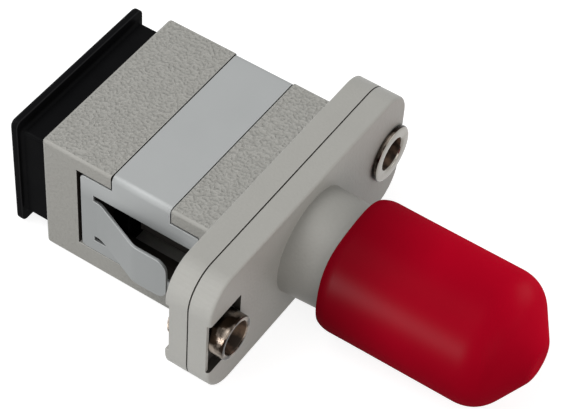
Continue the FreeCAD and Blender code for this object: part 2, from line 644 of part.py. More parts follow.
for item in doc.Objects:
    if {"Invalid", "Error"} & set(item.State):
        raise RuntimeError(f"{item.Label} failed: {item.State}")
for part in parts:
    if part.Shape.isNull() or not part.Shape.isValid() or len(part.Shape.Solids) != 1:
        raise RuntimeError(f"{part.Label} is not one sound solid")

os.makedirs("parts", exist_ok=True)
for part in parts:
    part.Shape.exportStep(f"parts/{part.Label}.step")
    box = part.Shape.BoundBox
    print(f"{part.Label}: {part.Shape.Volume:.1f} mm3, y {box.YMin:.2f} to {box.YMax:.2f}")
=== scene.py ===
"""Looks of a hybrid fibre adapter: square push-pull socket, riveted flange and round barrel."""
import bmesh
import bpy
import math
from mathutils import Matrix, Vector


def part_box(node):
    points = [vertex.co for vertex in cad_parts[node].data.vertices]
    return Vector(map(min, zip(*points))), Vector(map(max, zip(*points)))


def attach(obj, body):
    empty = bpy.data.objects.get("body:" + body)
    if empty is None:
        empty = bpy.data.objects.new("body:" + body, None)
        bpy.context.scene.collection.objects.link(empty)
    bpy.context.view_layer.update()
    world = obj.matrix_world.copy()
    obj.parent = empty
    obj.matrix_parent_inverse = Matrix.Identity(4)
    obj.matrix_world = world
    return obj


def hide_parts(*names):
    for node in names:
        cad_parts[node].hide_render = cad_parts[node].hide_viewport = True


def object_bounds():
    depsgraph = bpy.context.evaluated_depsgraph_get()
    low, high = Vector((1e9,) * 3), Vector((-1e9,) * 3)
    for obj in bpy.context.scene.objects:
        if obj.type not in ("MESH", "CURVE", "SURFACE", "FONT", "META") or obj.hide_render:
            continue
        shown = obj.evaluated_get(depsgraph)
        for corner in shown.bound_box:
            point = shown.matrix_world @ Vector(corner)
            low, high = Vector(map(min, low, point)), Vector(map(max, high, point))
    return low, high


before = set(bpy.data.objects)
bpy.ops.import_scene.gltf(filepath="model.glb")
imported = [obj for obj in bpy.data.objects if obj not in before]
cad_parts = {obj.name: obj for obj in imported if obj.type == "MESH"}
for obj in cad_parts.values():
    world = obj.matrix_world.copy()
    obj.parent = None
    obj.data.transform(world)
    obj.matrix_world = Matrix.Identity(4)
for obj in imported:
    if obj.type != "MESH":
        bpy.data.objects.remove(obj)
cad_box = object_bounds()

# Rear housing: the square shell and the rear half of the flange, one moulding in grey glass-filled
# plastic. The tool's wide faces are spark-eroded, so the shell is finely grained above and below
# and smooth elsewhere.
MM = 0.001
HOUSING_GREY = (0.4, 0.395, 0.368, 1)
HOUSING_PALE = (0.6, 0.6, 0.57, 1)
HOUSING_SHADE = (0.36, 0.355, 0.33, 1)
GRAIN_PIT = (0.25, 0.25, 0.23, 1)
# Near-black for the dark flange joint and for painted shade: recesses round the clip, the near
# rivet's pocket, and a little on the barrel.
JOINT_AND_SHADE_DARK = (0.016, 0.013, 0.01, 1)
HOUSING_SKIN = (5200.0, 350.0)  # pits and clouds to the metre
HOUSING_ROUGH = (0.48, 0.72)  # least and most
HOUSING_RELIEF = (1.0, 0.11 * MM)  # strength and depth
# The housings' edges turn paler: partly wear, partly a painted highlight where the edges catch
# light.
HOUSING_EDGE_PALING = 0.4
LEAST_GRAIN = 0.04
PIT_TONE = 0.5
HOUSING_EDGE = 0.05 * MM
JOINT = -1.6 * MM
SHELL_HALF_WIDTH = 6.6 * MM
SHELL_HALF_HEIGHT = 4.75 * MM
MERGED_WITHIN = 0.0002 * MM
FLAT_WITHIN = math.radians(0.3)
CRISP_ABOVE = math.radians(35)


def made_plain(piece):
    """Swap a piece's mesh for the one its modifiers give, and take the modifiers off."""
    depsgraph = bpy.context.evaluated_depsgraph_get()
    plain = bpy.data.meshes.new_from_object(piece.evaluated_get(depsgraph))
    piece.modifiers.clear()
    piece.data = plain
    plain.name = piece.name
    return piece


def face_mark(mesh, name, rule, *known):
    """Mark each face with the number that a rule gives for it, from nought to one."""
    mark = mesh.attributes.new(name, "FLOAT", "FACE")
    for polygon in mesh.polygons:
        mark.data[polygon.index].value = float(rule(polygon, *known))


def finished_copy(node, name, edge_round):
    """Copy a solid's mesh, merge it and break its crisp edges, which then carry the mark "edge"."""
    solid = bmesh.new()
    solid.from_mesh(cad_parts[node].data)
    bmesh.ops.remove_doubles(solid, verts=solid.verts, dist=MERGED_WITHIN)
    bmesh.ops.dissolve_limit(solid, angle_limit=FLAT_WITHIN, verts=solid.verts, edges=solid.edges)
    for face in solid.faces:
        face.smooth = True
        face.material_index = 0
    piece = bpy.data.objects.new(name, bpy.data.meshes.new(name))
    bpy.context.scene.collection.objects.link(piece)
    solid.to_mesh(piece.data)
    solid.free()
    passing = [bpy.data.materials.new(name + part) for part in ("_face", "_edge")]
    for finish in passing:
        piece.data.materials.append(finish)
    bevel = piece.modifiers.new("broken_edges", "BEVEL")
    bevel.width = edge_round
    bevel.segments = 2
    bevel.limit_method = "ANGLE"
    bevel.angle_limit = CRISP_ABOVE
    bevel.material = 1
    normals = piece.modifiers.new("flat_faces", "WEIGHTED_NORMAL")
    normals.keep_sharp = True
    made_plain(piece)
    face_mark(piece.data, "edge", lambda polygon: polygon.material_index == 1)
    for polygon in piece.data.polygons:
        polygon.material_index = 0
    piece.data.materials.clear()
    for finish in passing:
        bpy.data.materials.remove(finish)
    return piece


def new_group(name, inputs, outputs):
    """Start a shader node group with named inputs and outputs."""
    group = bpy.data.node_groups.new(name, "ShaderNodeTree")
    for label, kind, default in inputs:
        socket = group.interface.new_socket(label, in_out="INPUT", socket_type=kind)
        if default is not None:
            socket.default_value = default
    for label, kind in outputs:
        group.interface.new_socket(label, in_out="OUTPUT", socket_type=kind)
    return group, group.nodes.new("NodeGroupInput").outputs, group.nodes.new("NodeGroupOutput")


def add(tree, kind, settings=(), values=(), feeds=()):
    """Add one node with its settings, socket values and the outputs that feed it."""
    node = tree.nodes.new(kind)
    for name, value in dict(settings).items():
        setattr(node, name, value)
    for name, value in dict(values).items():
        node.inputs[name].default_value = value
    feed(tree, node, dict(feeds))
    return node


def feed(tree, node, feeds):
    """Feed a node's named inputs from other nodes' outputs."""
    for name, output in feeds.items():
        tree.links.new(output, node.inputs[name])


def mixed(tree, factor, first, second):
    """Mix two colours, each a plain colour or another node's output."""
    node = add(tree, "ShaderNodeMix", {"data_type": "RGBA"}, (), {"Factor": factor})
    colours_in = [socket for socket in node.inputs if socket.type == "RGBA"]
    for socket, colour in zip(colours_in, (first, second)):
        if isinstance(colour, tuple):
            socket.default_value = colour
        else:
            tree.links.new(colour, socket)
    return next(socket for socket in node.outputs if socket.type == "RGBA")


def combined(tree, operation, *parts):
    """Do one sum with values, each a plain number or another node's output."""
    node = add(tree, "ShaderNodeMath", {"operation": operation})
    for socket, part in zip(node.inputs, parts):
        if isinstance(part, float):
            socket.default_value = part
        else:
            tree.links.new(part, socket)
    return node.outputs[0]


def ranged(tree, value, low, high, start=0.0, stop=1.0):
    """Stretch a value so that it runs from low to high as it goes from start to stop."""
    limits = {"From Min": start, "From Max": stop, "To Min": low, "To Max": high}
    return add(tree, "ShaderNodeMapRange", (), limits, {"Value": value}).outputs["Result"]


def noise(tree, place, scale, detail):
    """A noise over a piece, from nought to one, with so many grains to the metre."""
    node = add(tree, "ShaderNodeTexNoise", (), {"Scale": scale, "Detail": detail},
               {"Vector": place})
    return node.outputs["Fac"]


def own_place(tree):
    """The piece's own coordinates."""
    return add(tree, "ShaderNodeTexCoord").outputs["Object"]


def marked(tree, name):
    """Read a mark of the mesh."""
    return add(tree, "ShaderNodeAttribute", {"attribute_name": name}).outputs["Fac"]


def moulded_skin():
    """The skin of a moulding: fine pits of the tool's surface and a slow cloudiness of the melt."""
    group, given, end = new_group(
        "moulded_skin",
        [("Vector", "NodeSocketVector", None), ("Pit Scale", "NodeSocketFloat", 6000.0),
         ("Cloud Scale", "NodeSocketFloat", 400.0)],
        [("Pits", "NodeSocketFloat"), ("Clouds", "NodeSocketFloat")])
    pits = add(group, "ShaderNodeTexNoise", (), {"Detail": 0.5, "Roughness": 0.4},
               {"Vector": given["Vector"], "Scale": given["Pit Scale"]})
    clouds = add(group, "ShaderNodeTexNoise", (), {"Detail": 3.0, "Roughness": 0.55},
                 {"Vector": given["Vector"], "Scale": given["Cloud Scale"]})
    firm = ranged(group, pits.outputs["Fac"], 0.0, 1.0, 0.25, 0.75)
    feed(group, end, {"Pits": firm, "Clouds": clouds.outputs["Fac"]})
    return group


MOULDED_SKIN = moulded_skin()


def skinned(tree, pit_scale, cloud_scale):
    """Place the skin of a moulding in a material, and give its pits and its clouds."""
    node = add(tree, "ShaderNodeGroup", {"node_tree": MOULDED_SKIN},
               {"Pit Scale": pit_scale, "Cloud Scale": cloud_scale}, {"Vector": own_place(tree)})
    return node.outputs["Pits"], node.outputs["Clouds"]


def edge_wear_and_highlight():
    """Wear and painted highlight of the broken edges: where the mark is, the paler edge colour
    shows as much as is given.
    """
    group, given, end = new_group(
        "edge_wear_and_highlight",
        [("Mark", "NodeSocketFloat", 0.0), ("Amount", "NodeSocketFloat", 0.5),
         ("Face", "NodeSocketColor", None), ("Pale Edge", "NodeSocketColor", None)],
        [("Color", "NodeSocketColor")])
    share = combined(group, "MULTIPLY", given["Mark"], given["Amount"])
    feed(group, end, {"Color": mixed(group, share, given["Face"], given["Pale Edge"])})
    return group


EDGE_WEAR_AND_HIGHLIGHT = edge_wear_and_highlight()


def worn_edges(tree, face, worn, amount):
    """Lay the edge wear and painted edge highlight over a face colour."""
    node = add(tree, "ShaderNodeGroup", {"node_tree": EDGE_WEAR_AND_HIGHLIGHT}, {"Amount": amount, "Pale Edge": worn},
               {"Mark": marked(tree, "edge"), "Face": face})
    return node.outputs["Color"]


def new_material(name, values):
    """Start a material and set the plain values of its shader."""
    material = bpy.data.materials.new(name)
    material.use_nodes = True
    shader = material.node_tree.nodes["Principled BSDF"]
    for socket, value in values.items():
        shader.inputs[socket].default_value = value
    return material, material.node_tree, shader


def bumped(tree, height, strength, distance, invert=False):
    """Turn a height, or a depth where inverted, into a normal."""
    bump = add(tree, "ShaderNodeBump", {"invert": invert},
               {"Strength": strength, "Distance": distance}, {"Height": height})
    return bump.outputs["Normal"]


def grey_moulding():
    """Grey of both housings: pitted in the grain, paler on the flange with a painted sheen on its
    ends, paler at the edges for wear and as a painted highlight, near-black in the flange joint and
    with painted shade in the recesses.
    """
    material, tree, shader = new_material("grey_moulding", {"Specular IOR Level": 0.35})
    pits, clouds = skinned(tree, *HOUSING_SKIN)
    grain = marked(tree, "grain")
    depth = combined(tree, "MULTIPLY", pits, ranged(tree, grain, LEAST_GRAIN, 1.0))
    cloudy = mixed(tree, clouds, HOUSING_GREY, HOUSING_SHADE)
    # Paler flange and wide faces, with a painted sheen on the flange's ends.
    pale_and_sheen = mixed(tree, marked(tree, "pale"), cloudy, HOUSING_PALE)
    pitted = mixed(tree, combined(tree, "MULTIPLY", depth, PIT_TONE), pale_and_sheen, GRAIN_PIT)
    edged = worn_edges(tree, pitted, HOUSING_PALE, HOUSING_EDGE_PALING)
    feed(tree, shader, {
        # Near-black where the mark says: the flange joint, and painted shade in the recesses.
        "Base Color": mixed(tree, marked(tree, "darkening"), edged, JOINT_AND_SHADE_DARK),
        "Roughness": ranged(tree, grain, *HOUSING_ROUGH),
        "Normal": bumped(tree, depth, *HOUSING_RELIEF, invert=True),
    })
    return material


GREY_MOULDING = grey_moulding()
SQUARE_ON = 0.98
FLUSH_WITHIN = 0.05 * MM
WIDE_GRAIN, SIDE_GRAIN, FLANGE_GRAIN = 1, 0.2, 0.05
# The wide faces and the flange are a little paler; the flange's ends much paler, as a painted
# sheen.
WIDE_PALE = 0.14
FLANGE_PALE, FLANGE_END_SHEEN = 0.1, 0.5


def on_flange(polygon):
    """Tell whether a face belongs to the flange and not to the shell behind it."""
    return polygon.center.y < FLUSH_WITHIN


def shell_grain(polygon):
    """How grained a face is: fully on the shell's wide faces, lightly on its sides."""
    normal, center = polygon.normal, polygon.center
    if on_flange(polygon):
        return FLANGE_GRAIN
    if abs(normal.z) > SQUARE_ON and abs(center.z) > SHELL_HALF_HEIGHT - FLUSH_WITHIN:
        return WIDE_GRAIN
    if abs(normal.x) > SQUARE_ON and abs(center.x) > SHELL_HALF_WIDTH - FLUSH_WITHIN:
        return SIDE_GRAIN
    return 0


def flange_pale(polygon):
    """How pale a face of the flange is: a little paler all over, and much paler at its ends as a
    painted sheen.
    """
    return FLANGE_PALE + FLANGE_END_SHEEN * polygon.normal.x ** 2


def shell_pale(polygon):
    """How pale a face is: the flange, with a painted sheen on its ends, and the shell's wide faces
    a little.
    """
    if on_flange(polygon):
        return flange_pale(polygon)
    return WIDE_PALE if shell_grain(polygon) == WIDE_GRAIN else 0


JOINT_WITHIN = 0.06 * MM
JOINT_LEAST_LEAN, JOINT_MOST_LEAN = 0.3, 0.95


def joint_face(polygon):
    """Tell whether a face lies in the groove between the two halves of the flange."""
    at_joint = abs(polygon.center.y - JOINT) < JOINT_WITHIN
    return at_joint and JOINT_LEAST_LEAN < abs(polygon.normal.y) < JOINT_MOST_LEAN


PLATE_GROOVE = ((5.6, 6.58), (9.38, 9.7), 3.7)
TONGUE_ROOM = ((4.6, 6.37), (0.5, 8.5), 2.9)
STRAP_WALLS = (2.63 * MM, 7.07 * MM)
STRAP_WITHIN = 0.03 * MM
PLATE_FLOOR = 6.38 * MM
PLATE_WITHIN = 0.02 * MM
FACING, SIDELONG = 0.9, 0.1


def lies_in(polygon, room):
    """Tell whether a face lies in a room on either side: millimetres across, along and up."""
    across, along, up = (place / MM for place in polygon.center)
    (inner, outer), (front_end, rear_end), half_height = room
    return (inner < abs(across) < outer and front_end < along < rear_end
            and abs(up) < half_height)


def shell_gap(polygon):
    """Tell whether a face goes near-black: in the flange joint, and as painted shade round the clip
    and behind a window, where no light reaches.
    """
    across, along = abs(polygon.center.x), polygon.center.y
    beside_strap = min(abs(along - wall) for wall in STRAP_WALLS) < STRAP_WITHIN
    strap_wall = abs(polygon.normal.y) > FACING and beside_strap
    behind_plate = abs(polygon.normal.x) > FACING and abs(across - PLATE_FLOOR) < PLATE_WITHIN
    hollow = lies_in(polygon, PLATE_GROOVE) or lies_in(polygon, TONGUE_ROOM)
    return hollow or strap_wall or behind_plate or joint_face(polygon)


LONG_EDGE_ROUND = 0.22 * MM
LONG_EDGE_HIGHLIGHT = 0.15


def long_edge(polygon):
    """Tell whether a face belongs to the rounding of one of the shell's four long edges."""
    at_side = abs(polygon.center.x) > SHELL_HALF_WIDTH - LONG_EDGE_ROUND
    at_top = abs(polygon.center.z) > SHELL_HALF_HEIGHT - LONG_EDGE_ROUND
    return at_side and at_top and polygon.center.y > 0 and abs(polygon.normal.y) < SIDELONG


rear = finished_copy("rear_housing", "rear_moulding", HOUSING_EDGE)
# Painted highlight: the roundings of the shell's long edges get a thin light line.
for polygon in rear.data.polygons:
    if long_edge(polygon):
        rear.data.attributes["edge"].data[polygon.index].value = LONG_EDGE_HIGHLIGHT
face_mark(rear.data, "grain", shell_grain)
face_mark(rear.data, "pale", shell_pale)
# Painted shade: the recesses round the clip and behind the windows are painted near-black, and the
# flange joint dark.
face_mark(rear.data, "darkening", shell_gap)
rear.data.materials.append(GREY_MOULDING)
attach(rear, "adapter")
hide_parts("rear_housing")

# Latch piece and front sleeve tube: two dark mouldings that hold the sleeve and catch the plug.
# They drop into the housings and are trapped when the two halves are riveted.
INNER_DARK = (0.03, 0.026, 0.022, 1)
INNER_CLOUD = (0.05, 0.044, 0.038, 1)
# Paler edges of the inner pieces: wear and a painted highlight.
INNER_EDGE_PALE = (0.075, 0.068, 0.06, 1)
INNER_SKIN = (9000.0, 500.0)
INNER_ROUGH = (0.4, 0.6)
INNER_RELIEF = (0.2, 0.01 * MM)
INNER_EDGE_PALING = 0.7
INNER_EDGE = 0.04 * MM


def dark_moulding():
    """Dark brown plastic of the inner pieces, clouded and paler at its edges, for wear and as a
    painted highlight.
    """
    material, tree, shader = new_material("dark_moulding", {"Specular IOR Level": 0.4})
    pits, clouds = skinned(tree, *INNER_SKIN)
    cloudy = mixed(tree, clouds, INNER_DARK, INNER_CLOUD)
    feed(tree, shader, {
        "Base Color": worn_edges(tree, cloudy, INNER_EDGE_PALE, INNER_EDGE_PALING),
        "Roughness": ranged(tree, clouds, *INNER_ROUGH),
        "Normal": bumped(tree, pits, *INNER_RELIEF),
    })
    return material


DARK_MOULDING = dark_moulding()
for node, name in (("latch_holder", "latch_moulding"),
                   ("sleeve_retainer", "sleeve_tube_moulding")):
    inner = finished_copy(node, name, INNER_EDGE)
    inner.data.materials.append(DARK_MOULDING)
    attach(inner, "adapter")
    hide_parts(node)

# Alignment sleeve: a thin split tube of phosphor bronze, ground inside and out.
# It floats between the two tubes and squeezes both ferrules into line.
BRONZE = (0.62, 0.36, 0.16, 1)
BRONZE_DULL = (0.42, 0.23, 0.1, 1)
GRINDING = (1.0, 14.0, 1.0)
RING_NOISE = (900.0, 3.0)  # grains to the metre and detail
BRONZE_ROUGH = (0.22, 0.42)
BRONZE_RELIEF = (0.15, 0.01 * MM)
SLEEVE_EDGE = 0.03 * MM


def ground_bronze():
    """Bronze with the fine rings that grinding leaves round the tube."""
    material, tree, shader = new_material("ground_bronze", {"Metallic": 1.0})
    turned = add(tree, "ShaderNodeMapping", (), {"Scale": GRINDING}, {"Vector": own_place(tree)})
    rings = noise(tree, turned.outputs[0], *RING_NOISE)
    feed(tree, shader, {
        "Base Color": mixed(tree, rings, BRONZE, BRONZE_DULL),
        "Roughness": ranged(tree, rings, *BRONZE_ROUGH),
        "Normal": bumped(tree, rings, *BRONZE_RELIEF),
    })
    return material


sleeve = finished_copy("alignment_sleeve", "split_sleeve", SLEEVE_EDGE)
sleeve.data.materials.append(ground_bronze())
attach(sleeve, "adapter")
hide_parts("alignment_sleeve")

# Front housing: the front half of the flange with the connector barrel, in the same grey plastic.
# Past a plain root the barrel is turned down under its thread, which is a ridge wound round it.
BARREL_ROOT_END = -6.69 * MM
BARREL_START = -3.25 * MM
THREAD_ROOT = 3.52 * MM
THREAD_CREST = 3.9 * MM
THREAD_START = -6.85 * MM
THREAD_END = -12.95 * MM
THREAD_PITCH = 0.75 * MM
THREAD_LEAD = 0.3 * MM
THREAD_FOOT = 0.66 * MM
THREAD_TOP = 0.14 * MM
THREAD_SUNK = 0.04 * MM
THREAD_STEPS = 56
KEY_SLOT_WIDTH = 2.1 * MM
KEY_SLOT_HEIGHT = 4 * MM
KEY_SLOT_START = -10.2 * MM
KEY_SLOT_PAST_END = 2 * MM
POCKET_DEPTH = (-3.17 * MM, -2.5 * MM)
POCKET_SPAN = (-10.52 * MM, -7.5 * MM)
POCKET_HALF_HEIGHT = 2.25 * MM
# Painted shade: the near rivet's pocket is painted nearly black. The barrel is painted a little
# darker all over.
POCKET_SHADE = 0.94
BARREL_DARKENING = 0.13
BARREL_GRAIN = 0.06

front = finished_copy("front_housing", "front_moulding", HOUSING_EDGE)
for vertex in front.data.vertices:
    reach = math.hypot(vertex.co.x, vertex.co.z)
    if vertex.co.y < BARREL_ROOT_END and reach > THREAD_ROOT:
        vertex.co.x *= THREAD_ROOT / reach
        vertex.co.z *= THREAD_ROOT / reach


def on_barrel(polygon):
    """Tell whether a face belongs to the barrel, which is a little duller than the flange."""
    out = math.hypot(polygon.center.x, polygon.center.z)
    return polygon.center.y < BARREL_START and out < THREAD_CREST


def front_gap(polygon):
    """How dark a face is: fully in the joint, nearly so as painted shade in the near rivet's
    pocket, and a little on the barrel.
    """
    across, along, up = polygon.center
    in_depth = POCKET_DEPTH[0] < along < POCKET_DEPTH[1]
    in_span = POCKET_SPAN[0] < across < POCKET_SPAN[1]
    if joint_face(polygon):
        return 1
    if in_depth and in_span and abs(up) < POCKET_HALF_HEIGHT:
        return POCKET_SHADE
    return BARREL_DARKENING if on_barrel(polygon) else 0


def front_grain(polygon):
    """How grained a face is: hardly at all."""
    return BARREL_GRAIN if on_barrel(polygon) else FLANGE_GRAIN


def front_pale(polygon):
    """How pale a face is: the flange, with a painted sheen on its ends, and the barrel not at all.
    """
    return 0 if on_barrel(polygon) else flange_pale(polygon)


face_mark(front.data, "grain", front_grain)
face_mark(front.data, "pale", front_pale)
face_mark(front.data, "darkening", front_gap)
front.data.materials.append(GREY_MOULDING)
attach(front, "adapter")
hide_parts("front_housing")


def new_tree(name, sizes, places, turns=()):
    """Start a geometry tree with named inputs for its sizes, places and turns."""
    tree = bpy.data.node_groups.new(name, "GeometryNodeTree")
    tree.is_modifier = True
    tree.interface.new_socket("Geometry", in_out="INPUT", socket_type="NodeSocketGeometry")
    for labels, kind in ((sizes, "NodeSocketFloat"), (places, "NodeSocketVector"),
                         (turns, "NodeSocketRotation")):
        for label in labels:
            tree.interface.new_socket(label, in_out="INPUT", socket_type=kind)
    tree.interface.new_socket("Geometry", in_out="OUTPUT", socket_type="NodeSocketGeometry")
    return tree, tree.nodes.new("NodeGroupInput").outputs


def ended(tree, geometry, material):
    """Close a geometry tree with real geometry in one material."""
    real = add(tree, "GeometryNodeRealizeInstances", (), (), {"Geometry": geometry})
    coated = add(tree, "GeometryNodeSetMaterial", (), {"Material": material},
                 {"Geometry": real.outputs[0]})
    add(tree, "NodeGroupOutput", (), (), {"Geometry": coated.outputs[0]})
    return tree


def grown(name, tree, sizes):
    """Make a piece from a geometry tree and turn it into a plain mesh."""
    piece = bpy.data.objects.new(name, bpy.data.meshes.new(name))
    bpy.context.scene.collection.objects.link(piece)
    modifier = piece.modifiers.new(name, "NODES")
    modifier.node_group = tree
    for item in tree.interface.items_tree:
        if item.item_type == "SOCKET" and item.in_out == "INPUT" and item.name in sizes:
            modifier[item.identifier] = sizes[item.name]
    return made_plain(piece)


def moved(tree, geometry, values=(), feeds=()):
    """Move or turn geometry by plain values or by a tree's inputs."""
    node = add(tree, "GeometryNodeTransform", (), values, {"Geometry": geometry, **dict(feeds)})
    return node.outputs[0]


def thread_tree():
    """A ridge wound round the barrel, cut through where the key slot runs."""
    tree, given = new_tree("wound_thread",
                           ("Turns", "Radius", "Height", "Foot", "Crest", "Depth"),
                           ("Start", "Slot Size", "Slot Place"))
    helix = add(tree, "GeometryNodeCurveSpiral", (), {"Resolution": THREAD_STEPS},
                {"Rotations": given["Turns"], "Start Radius": given["Radius"],
                 "End Radius": given["Radius"], "Height": given["Height"]})
    upright = add(tree, "GeometryNodeSetCurveNormal", {"mode": "Z_UP"}, (),
                  {"Curve": helix.outputs[0]})
    section = add(tree, "GeometryNodeCurvePrimitiveQuadrilateral", {"mode": "TRAPEZOID"},
                  {"Offset": 0.0},
                  {"Bottom Width": given["Foot"], "Top Width": given["Crest"],
                   "Height": given["Depth"]})
    facing_out = moved(tree, section.outputs[0], {"Rotation": (0, 0, math.pi / 2)})
    ridge = add(tree, "GeometryNodeCurveToMesh", (), {"Fill Caps": True},
                {"Curve": upright.outputs[0], "Profile Curve": facing_out})
    laid = moved(tree, ridge.outputs[0], {"Rotation": (math.pi / 2, 0, 0)},
                 {"Translation": given["Start"]})
    block = add(tree, "GeometryNodeMeshCube", (), (), {"Size": given["Slot Size"]})
    slot = moved(tree, block.outputs[0], (), {"Translation": given["Slot Place"]})
    cut = add(tree, "GeometryNodeMeshBoolean", {"operation": "DIFFERENCE", "solver": "EXACT"}, (),
              {"Mesh 1": laid, "Mesh 2": slot})
    return ended(tree, cut.outputs["Mesh"], GREY_MOULDING)


thread_length = THREAD_START - THREAD_END - 2 * THREAD_LEAD
slot_length = KEY_SLOT_START - (THREAD_END - KEY_SLOT_PAST_END)
thread = grown("barrel_thread", thread_tree(), {
    "Turns": thread_length / THREAD_PITCH,
    "Radius": (THREAD_ROOT + THREAD_CREST) / 2,
    "Height": thread_length,
    "Foot": THREAD_FOOT,
    "Crest": THREAD_TOP,
    "Depth": THREAD_CREST - THREAD_ROOT + THREAD_SUNK,
    "Start": Vector((0, THREAD_START - THREAD_LEAD, 0)),
    "Slot Size": Vector((KEY_SLOT_WIDTH, slot_length, KEY_SLOT_HEIGHT)),
    "Slot Place": Vector((0, KEY_SLOT_START - slot_length / 2, -THREAD_CREST)),
})
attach(thread, "adapter")

# Hollow rivets: two nickel-plated brass tubes through the flange, set from opposite sides.
# Each has a rounded head at one end; the near one shows its plain tail, the far one its head.
NICKEL = (0.31, 0.295, 0.27, 1)
NICKEL_DULL = (0.24, 0.225, 0.2, 1)
BARE_BRASS = (0.25, 0.21, 0.175, 1)
# Near-black on the near tail and a head's edge: tarnish, and painted shade.
TARNISH_AND_SHADE = (0.014, 0.009, 0.006, 1)
BORE_BROWN = (0.24, 0.16, 0.108, 1)
BORE_DIRT = (0.035, 0.024, 0.017, 1)
PLATING_NOISE = (900.0, 4.0)
PATCHES_FROM, PATCHES_FULLY = 0.46, 0.64
PLATE_ROUGH = (0.1, 0.34)
PLATE_RELIEF = (0.12, 0.02 * MM)
BORE_METAL, BORE_ROUGH = 0.2, 0.5
RIVET_BOTH = {"Bore": 1.15 * MM, "Shank": 1.5 * MM, "Head Rounding": 0.19 * MM,
              "Tail Rounding": 0.1 * MM}
RIVETS = {
    "rivet_near": {"Head": 1.7 * MM, "Head Depth": 0.2 * MM,
                   "Place": Vector((-9 * MM, -0.05 * MM, 0)), "Turn": Vector((-math.pi / 2, 0, 0))},
    "rivet_far": {"Head": 2.0 * MM, "Head Depth": 0.4 * MM,
                  "Place": Vector((9 * MM, -3.6 * MM, 0)), "Turn": Vector((math.pi / 2, 0, 0))},
}
RIVET_STEPS = 72
ROUNDING_STEPS = 6
NEAR_TAIL = -0.5 * MM
SHADED_RIM = 0.06 * MM
BORE_WITHIN = 0.01 * MM


def plated_brass():
    """Nickel plate; tarnished brass darkened as painted shade on the near tail and on a head's
    edge; brown with dirt in the bore.
    """
    material, tree, shader = new_material("plated_brass", {})
    worn = noise(tree, own_place(tree), *PLATING_NOISE)
    patches = ranged(tree, worn, 0.0, 1.0, PATCHES_FROM, PATCHES_FULLY)
    bore = marked(tree, "bore")
    plate = mixed(tree, worn, NICKEL, NICKEL_DULL)
    # Painted shade: near-black patches over tarnished brass.
    tarnish_and_shade = mixed(tree, patches, TARNISH_AND_SHADE, BARE_BRASS)
    outside = mixed(tree, marked(tree, "bare_and_shaded"), plate, tarnish_and_shade)
    inside = mixed(tree, patches, BORE_DIRT, BORE_BROWN)
    feed(tree, shader, {
        "Base Color": mixed(tree, bore, outside, inside),
        "Metallic": ranged(tree, bore, 1.0, BORE_METAL),
        "Roughness": combined(tree, "MAXIMUM", ranged(tree, worn, *PLATE_ROUGH),
                              ranged(tree, bore, 0.0, BORE_ROUGH)),
        "Normal": bumped(tree, worn, *PLATE_RELIEF),
    })
    return material


def rivet_tree():
    """A hollow rivet: one rounded section through bore, head and shank, swept round the axis."""
    tree, given = new_tree("hollow_rivet",
                           ("Bore", "Shank", "Head", "Head Depth", "Length", "Head Rounding",
                            "Tail Rounding"), ("Place",), ("Turn",))
    index = add(tree, "GeometryNodeInputIndex").outputs[0]

    def by_corner(kind, choices):
        """A value for each corner of the section in turn; a corner with none stays at nothing."""
        node = add(tree, "GeometryNodeIndexSwitch", {"data_type": kind}, (), {"Index": index})
        while len(node.index_switch_items) < len(choices):
            node.index_switch_items.new()
        feed(tree, node, {str(at): choice for at, choice in enumerate(choices) if choice})
        return node.outputs[0]

    def corner(out, low):
        """A corner of the section: how far out from the bore, and how far below the head's face."""
        sizes = {socket: size for socket, size in (("X", out), ("Y", low)) if size}
        return add(tree, "ShaderNodeCombineXYZ", (), (), sizes).outputs[0]

    head = combined(tree, "SUBTRACT", given["Head"], given["Bore"])
    shank = combined(tree, "SUBTRACT", given["Shank"], given["Bore"])
    under, tail = given["Head Depth"], given["Length"]
    corners = [None, corner(head, None), corner(head, under), corner(shank, under),
               corner(shank, tail), corner(None, tail)]
    soft, blunt = given["Head Rounding"], given["Tail Rounding"]
    roundings = by_corner("FLOAT", [soft, soft, soft, None, blunt, blunt])
    line = add(tree, "GeometryNodeMeshLine", (), {"Count": len(corners)})
    set_out = add(tree, "GeometryNodeSetPosition", (), (),
                  {"Geometry": line.outputs[0], "Position": by_corner("VECTOR", corners)})
    drawn = add(tree, "GeometryNodeMeshToCurve", (), (), {"Mesh": set_out.outputs[0]})
    closed = add(tree, "GeometryNodeSetSplineCyclic", (), {"Cyclic": True},
                 {"Geometry": drawn.outputs[0]})
    rounded = add(tree, "GeometryNodeFilletCurve", {"mode": "POLY"},
                  {"Count": ROUNDING_STEPS, "Limit Radius": True},
                  {"Curve": closed.outputs[0], "Radius": roundings})
    path = add(tree, "GeometryNodeCurvePrimitiveCircle", (), {"Resolution": RIVET_STEPS},
               {"Radius": given["Bore"]})
    upright = add(tree, "GeometryNodeSetCurveNormal", {"mode": "Z_UP"}, (),
                  {"Curve": path.outputs[0]})
    swept = add(tree, "GeometryNodeCurveToMesh", (), (),
                {"Curve": upright.outputs[0], "Profile Curve": rounded.outputs[0]})
    smooth = add(tree, "GeometryNodeSetShadeSmooth", (), {"Shade Smooth": True},
                 {"Geometry": swept.outputs[0]})
    placed = moved(tree, smooth.outputs[0], (),
                   {"Translation": given["Place"], "Rotation": given["Turn"]})
    return ended(tree, placed, plated_brass())


def off_axis(polygon, node):
    """How far a face is from the axis of its rivet."""
    return math.hypot(polygon.center.x - RIVETS[node]["Place"].x, polygon.center.z)


def unplated(polygon, node):
    """Tell whether a face is darkened: the near tail, tarnished brass with painted shade, and the
    edge of a head, painted shade.
    """
    on_tail = node == "rivet_near" and polygon.center.y < NEAR_TAIL
    return on_tail or off_axis(polygon, node) > RIVETS[node]["Head"] - SHADED_RIM


def in_bore(polygon, node):
    """Tell whether a face belongs to the bore."""
    return off_axis(polygon, node) < RIVET_BOTH["Bore"] + BORE_WITHIN


